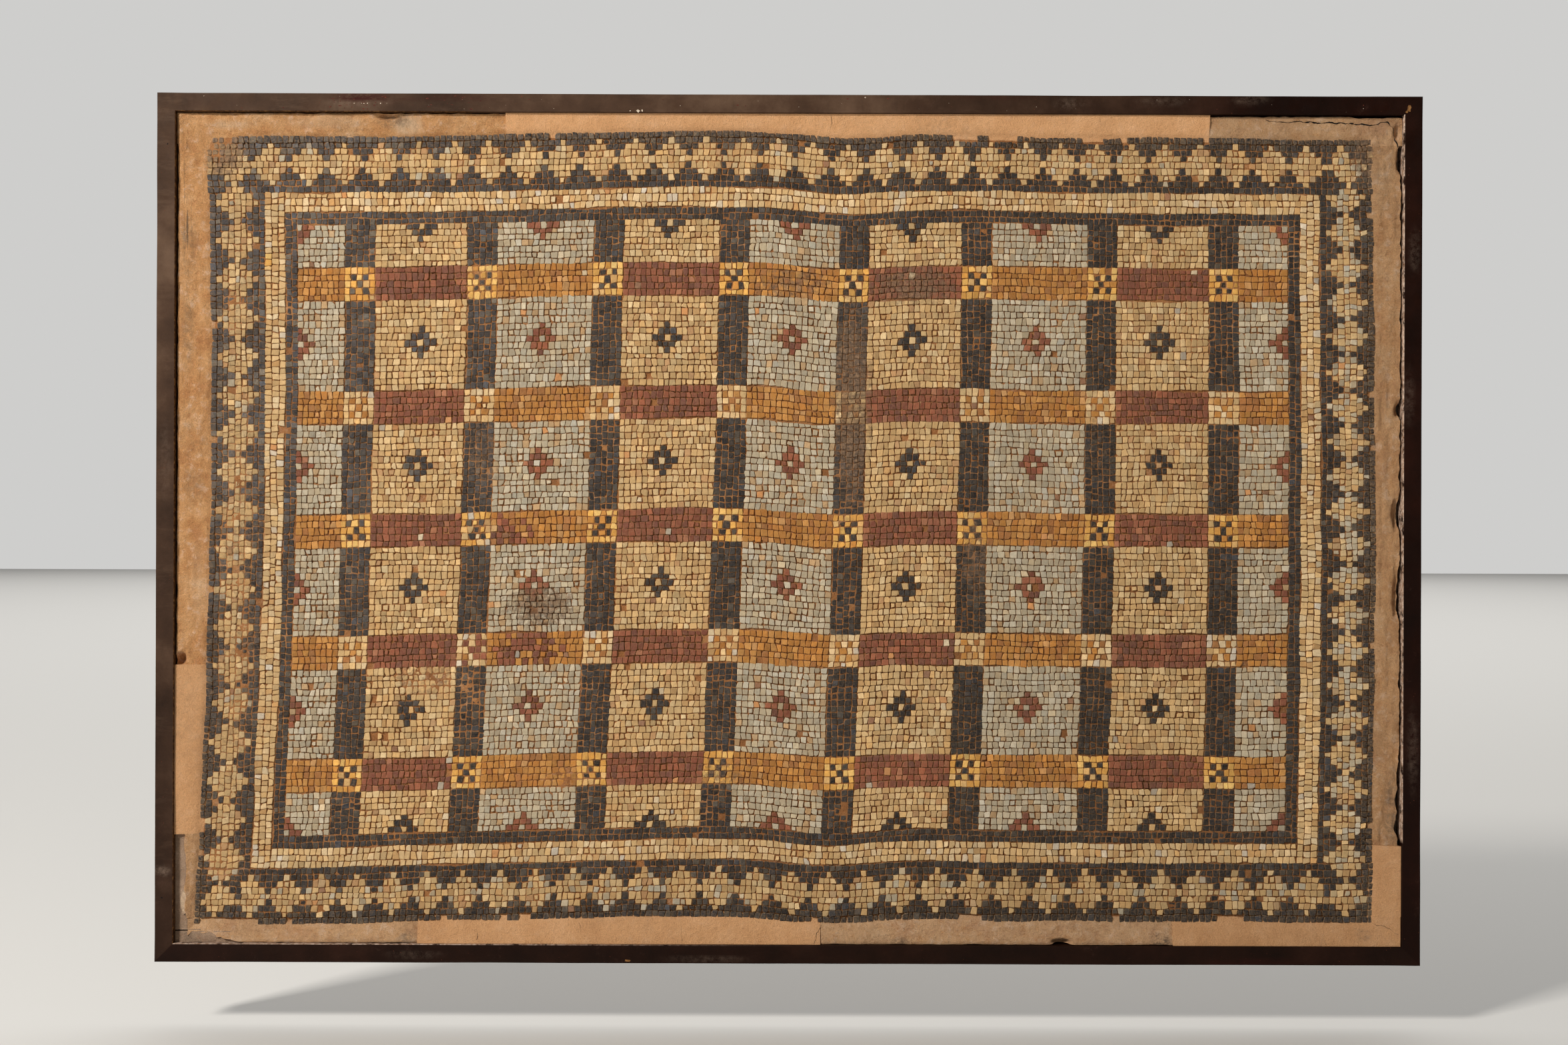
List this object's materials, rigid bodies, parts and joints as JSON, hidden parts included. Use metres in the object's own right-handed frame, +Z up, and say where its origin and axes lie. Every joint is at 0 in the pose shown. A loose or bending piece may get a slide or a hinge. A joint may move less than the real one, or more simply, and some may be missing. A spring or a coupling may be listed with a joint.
{
  "type": "mosaic panel",
  "caption": "Old floor mosaic with a squared grid pattern and stepped-triangle border, reset on cement in a steel frame for hanging on a wall.",
  "frame": {"origin": "middle of the flat back, which bears on the wall", "axes": "+X along the width, +Z up, front faces -Y"},
  "size_m": [1.9, 0.048, 1.305],
  "materials": {
    "painted_steel": "dark brown paint over steel, worn and rust-stained",
    "cement": "rough grey cement",
    "old_mortar": "coarse tan lime mortar, weathered",
    "new_mortar": "smooth sandy tan mortar",
    "black_stone": "dark grey to black limestone",
    "buff_stone": "warm buff limestone",
    "cream_stone": "pale cream limestone",
    "grey_stone": "light grey limestone",
    "red_stone": "dull dark red stone",
    "ochre_stone": "ochre yellow stone",
    "yellow_stone": "pale yellow stone"
  },
  "bodies": {
    "root": {"frame_top": "painted_steel", "frame_bottom": "painted_steel", "frame_left": "painted_steel", "frame_right": "painted_steel", "backing_slab": "cement", "setting_bed": "old_mortar", "repair_top": "new_mortar", "repair_bottom": "new_mortar", "repair_left": "new_mortar", "repair_corner": "new_mortar", "border_outer_black": "black_stone", "border_buff": "buff_stone", "border_inner_black": "black_stone", "fillet_cream": "cream_stone", "fillet_black": "black_stone", "cells_1": "grey_stone", "flowers_1": "red_stone", "cells_2": "buff_stone", "flowers_2": "black_stone", "cells_3": "grey_stone", "flowers_3": "red_stone", "cells_4": "buff_stone", "flowers_4": "black_stone", "cells_5": "grey_stone", "flowers_5": "red_stone", "cells_6": "buff_stone", "flowers_6": "black_stone", "cells_7": "grey_stone", "flowers_7": "red_stone", "cells_8": "buff_stone", "flowers_8": "black_stone", "cells_9": "grey_stone", "flowers_9": "red_stone", "upright_1": "black_stone", "upright_2": "black_stone", "upright_3": "black_stone", "upright_4": "black_stone", "upright_5": "black_stone", "upright_6": "black_stone", "upright_7": "black_stone", "upright_8": "black_stone", "level_ochre_1": "ochre_stone", "level_red_1": "red_stone", "crossings_1": "yellow_stone", "level_ochre_2": "ochre_stone", "level_red_2": "red_stone", "crossings_2": "cream_stone", "level_ochre_3": "ochre_stone", "level_red_3": "red_stone", "crossings_3": "yellow_stone", "level_ochre_4": "ochre_stone", "level_red_4": "red_stone", "crossings_4": "cream_stone", "level_ochre_5": "ochre_stone", "level_red_5": "red_stone", "crossings_5": "yellow_stone"}
  },
  "joints": []
}
